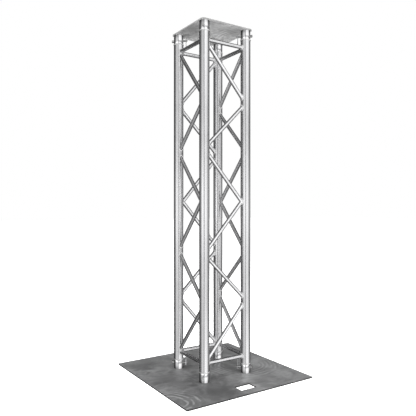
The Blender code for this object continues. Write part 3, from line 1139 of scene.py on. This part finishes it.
class TRUSS_OT_clips(bpy.types.Operator):
    """Make the spring clips"""

    bl_idname = "truss.clips"
    bl_label = "Spring clips"

    def execute(self, context):
        sizes = context.scene.truss_fittings
        route = clip_route(sizes)
        deselect_all()
        bpy.ops.curve.primitive_bezier_curve_add(location=(0, 0, 0))
        wire = bpy.context.object
        spline = wire.data.splines[0]
        spline.bezier_points.add(len(route) - len(spline.bezier_points))
        for point, spot in zip(spline.bezier_points, route):
            point.co = (spot.x, spot.y, 0)
            point.handle_left_type = "AUTO"
            point.handle_right_type = "AUTO"
        wire.data.bevel_depth = sizes.wire_radius
        wire.data.bevel_resolution = WIRE_STEPS
        wire.data.resolution_u = ROUTE_STEPS
        wire.data.use_fill_caps = True
        bpy.ops.object.convert(target="MESH")
        pattern = smooth(bpy.context.object, WIRE_ANGLE)
        to_hole = Matrix.Translation((0, 0, -sizes.clip_reach))
        for index, name, upper in ends():
            piece = copied(pattern, f"{name}_spring_clip", pin_frame(index, upper) @ to_hole)
            finish_piece(piece, f"{name}_clip", "spring_wire", spring_wire())
            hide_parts(f"{name}_clip")
        discard(pattern)
        return {"FINISHED"}


# ---------------------------------------------------------------- stage


def pale_floor():
    def build(recipe):
        cloud = recipe.noise(recipe.place(), 0.6, 2.0)
        tint = recipe.blend(cloud, (0.90, 0.90, 0.90), (0.93, 0.93, 0.93))
        return {
            "Base Color": tint,
            "Roughness": 0.8,
            "Specular IOR Level": 0.0,
            "Emission Color": tint,
            "Emission Strength": 1.0,
        }

    return shader("pale_floor", build)


LIGHT_PLACE = (-0.5, -0.8, 4.2)
FLOOR_DROP = 0.0002  # keeps the floor just clear of the base plate's underside
SENSOR_WIDTH = 36.0
FRAMING = (-0.0046, -0.0015)  # the camera's shift

# Glow of the soft light round the horizon, by bearing in degrees to the right of the camera
BAND = (
    (-180, 0.12), (-150, 0.08), (-125, 0.06), (-100, 0.09), (-80, 0.22), (-62, 0.56),
    (-46, 0.94), (-17, 0.86), (-8, 0.36), (6, 0.36), (15, 0.84), (42, 0.92), (58, 0.64),
    (78, 0.36), (100, 0.26), (125, 0.14), (150, 0.10), (180, 0.12),
)
HIGH_PANEL = (44, 30, 28)  # bearing, half width and soft edge, in degrees
HIGH_LEVEL = (0.48, 0.18, 0.14)  # the same, as the sine of the height
HIGH_GLOW = 0.75
DIM_FROM, DIM_TO, DIM = 0.34, 0.62, 0.50  # how the band fades upward and downward
HORIZON, HORIZON_GLOW = (0.0, 0.025, 0.075), 1.3  # a brighter line at eye level


def studio_world(setup):
    """A broad soft light in front, a high one on its right, and a darker left and back."""
    world = bpy.data.worlds.new("studio")
    bpy.context.scene.world = world
    world.use_nodes = True
    tree = world.node_tree
    tree.nodes.clear()
    recipe = Recipe(tree)
    x, y, z = recipe.parts(recipe.node("ShaderNodeTexCoord", output="Generated"))
    sine, cosine = math.sin(setup.bearing), math.cos(setup.bearing)
    facing = x * -sine + y * -cosine
    aside = x * cosine + y * -sine
    turn = recipe.node("ShaderNodeMath", {"operation": "ARCTAN2"}, {0: aside, 1: facing})
    level = abs(z)

    def lobe(value, middle, half, soft):
        return 1.0 - abs(value - middle).between(half, half + soft)

    def panel(degrees, half, soft):
        """A soft upright panel, by its bearing to the right of the camera."""
        return lobe(turn, *(math.radians(angle) for angle in (degrees, half, soft)))

    stops = [(0.5 + degrees / 360, glow) for degrees, glow in BAND]
    low = recipe.node("ShaderNodeValToRGB", {"stops": stops}, {"Fac": 0.5 + turn / math.tau})
    low = low * (1.0 - DIM * level.between(DIM_FROM, DIM_TO))
    low = low * (1.0 + HORIZON_GLOW * lobe(level, *HORIZON))
    glow = low + HIGH_GLOW * panel(*HIGH_PANEL) * lobe(level, *HIGH_LEVEL)
    seen = recipe.node("ShaderNodeLightPath", output="Is Camera Ray")
    lit = recipe.node("ShaderNodeBackground", None, {"Color": (1, 1, 1, 1), "Strength": glow})
    white = recipe.node("ShaderNodeBackground", None, {"Color": (1, 1, 1, 1), "Strength": 1.0})
    mixed = recipe.node("ShaderNodeMixShader", None, {0: seen, 1: lit, 2: white})
    output = tree.nodes.new("ShaderNodeOutputWorld")
    tree.links.new(mixed.output, output.inputs["Surface"])


class TRUSS_OT_stage(bpy.types.Operator):
    """Set up the floor, the light and the camera"""

    bl_idname = "truss.stage"
    bl_label = "Stage"

    def execute(self, context):
        setup = context.scene.truss_stage
        deselect_all()
        bpy.ops.mesh.primitive_plane_add(size=setup.floor_size, location=(0, 0, -FLOOR_DROP))
        floor = bpy.context.object
        floor.name = "floor"
        floor.data.materials.append(pale_floor())
        floor.visible_glossy = False
        studio_world(setup)
        bpy.ops.object.light_add(type="AREA", location=LIGHT_PLACE)
        overhead = bpy.context.object
        overhead.data.shape = "DISK"
        overhead.data.size = setup.light_size
        overhead.data.energy = setup.light_power
        overhead.visible_camera = False
        overhead.visible_glossy = False
        place = (
            -setup.distance * math.sin(setup.bearing),
            -setup.distance * math.cos(setup.bearing),
            setup.height,
        )
        bpy.ops.object.camera_add(location=place, rotation=(math.pi / 2, 0, -setup.heading))
        camera = bpy.context.object
        camera.data.lens = setup.lens
        camera.data.sensor_width = SENSOR_WIDTH
        camera.data.shift_x, camera.data.shift_y = FRAMING
        context.scene.camera = camera
        context.scene.view_settings.view_transform = "Standard"
        return {"FINISHED"}


OPERATORS = (
    TRUSS_OT_plates,
    TRUSS_OT_chords,
    TRUSS_OT_receivers,
    TRUSS_OT_bracing,
    TRUSS_OT_welds,
    TRUSS_OT_couplers,
    TRUSS_OT_pins,
    TRUSS_OT_clips,
    TRUSS_OT_stage,
)
GROUPS = {
    "truss_sizes": TrussSizes,
    "truss_fittings": FittingSizes,
    "truss_finishes": Finishes,
    "truss_stage": StageSetup,
}


class TRUSS_PT_tower(bpy.types.Panel):
    """Sizes, finishes and steps of the truss tower"""

    bl_idname = "TRUSS_PT_tower"
    bl_label = "Lighting truss tower"
    bl_space_type = "VIEW_3D"
    bl_region_type = "UI"
    bl_category = "Truss"

    def draw(self, context):
        for operator in OPERATORS:
            self.layout.operator(operator.bl_idname)
        for name in GROUPS:
            box = self.layout.box()
            group = getattr(context.scene, name)
            for entry in group.bl_rna.properties:
                if entry.identifier not in ("rna_type", "name"):
                    box.prop(group, entry.identifier)


def register():
    for made in (*GROUPS.values(), *OPERATORS, TRUSS_PT_tower):
        bpy.utils.register_class(made)
    for name, group in GROUPS.items():
        setattr(bpy.types.Scene, name, PointerProperty(type=group))


def unregister():
    for name in GROUPS:
        delattr(bpy.types.Scene, name)
    for made in reversed((*GROUPS.values(), *OPERATORS, TRUSS_PT_tower)):
        bpy.utils.unregister_class(made)


def main():
    register()
    bpy.ops.truss.plates()
    bpy.ops.truss.chords()
    bpy.ops.truss.receivers()
    bpy.ops.truss.bracing()
    bpy.ops.truss.welds()
    bpy.ops.truss.couplers()
    bpy.ops.truss.pins()
    bpy.ops.truss.clips()
    bpy.ops.truss.stage()


if __name__ == "__main__":
    main()
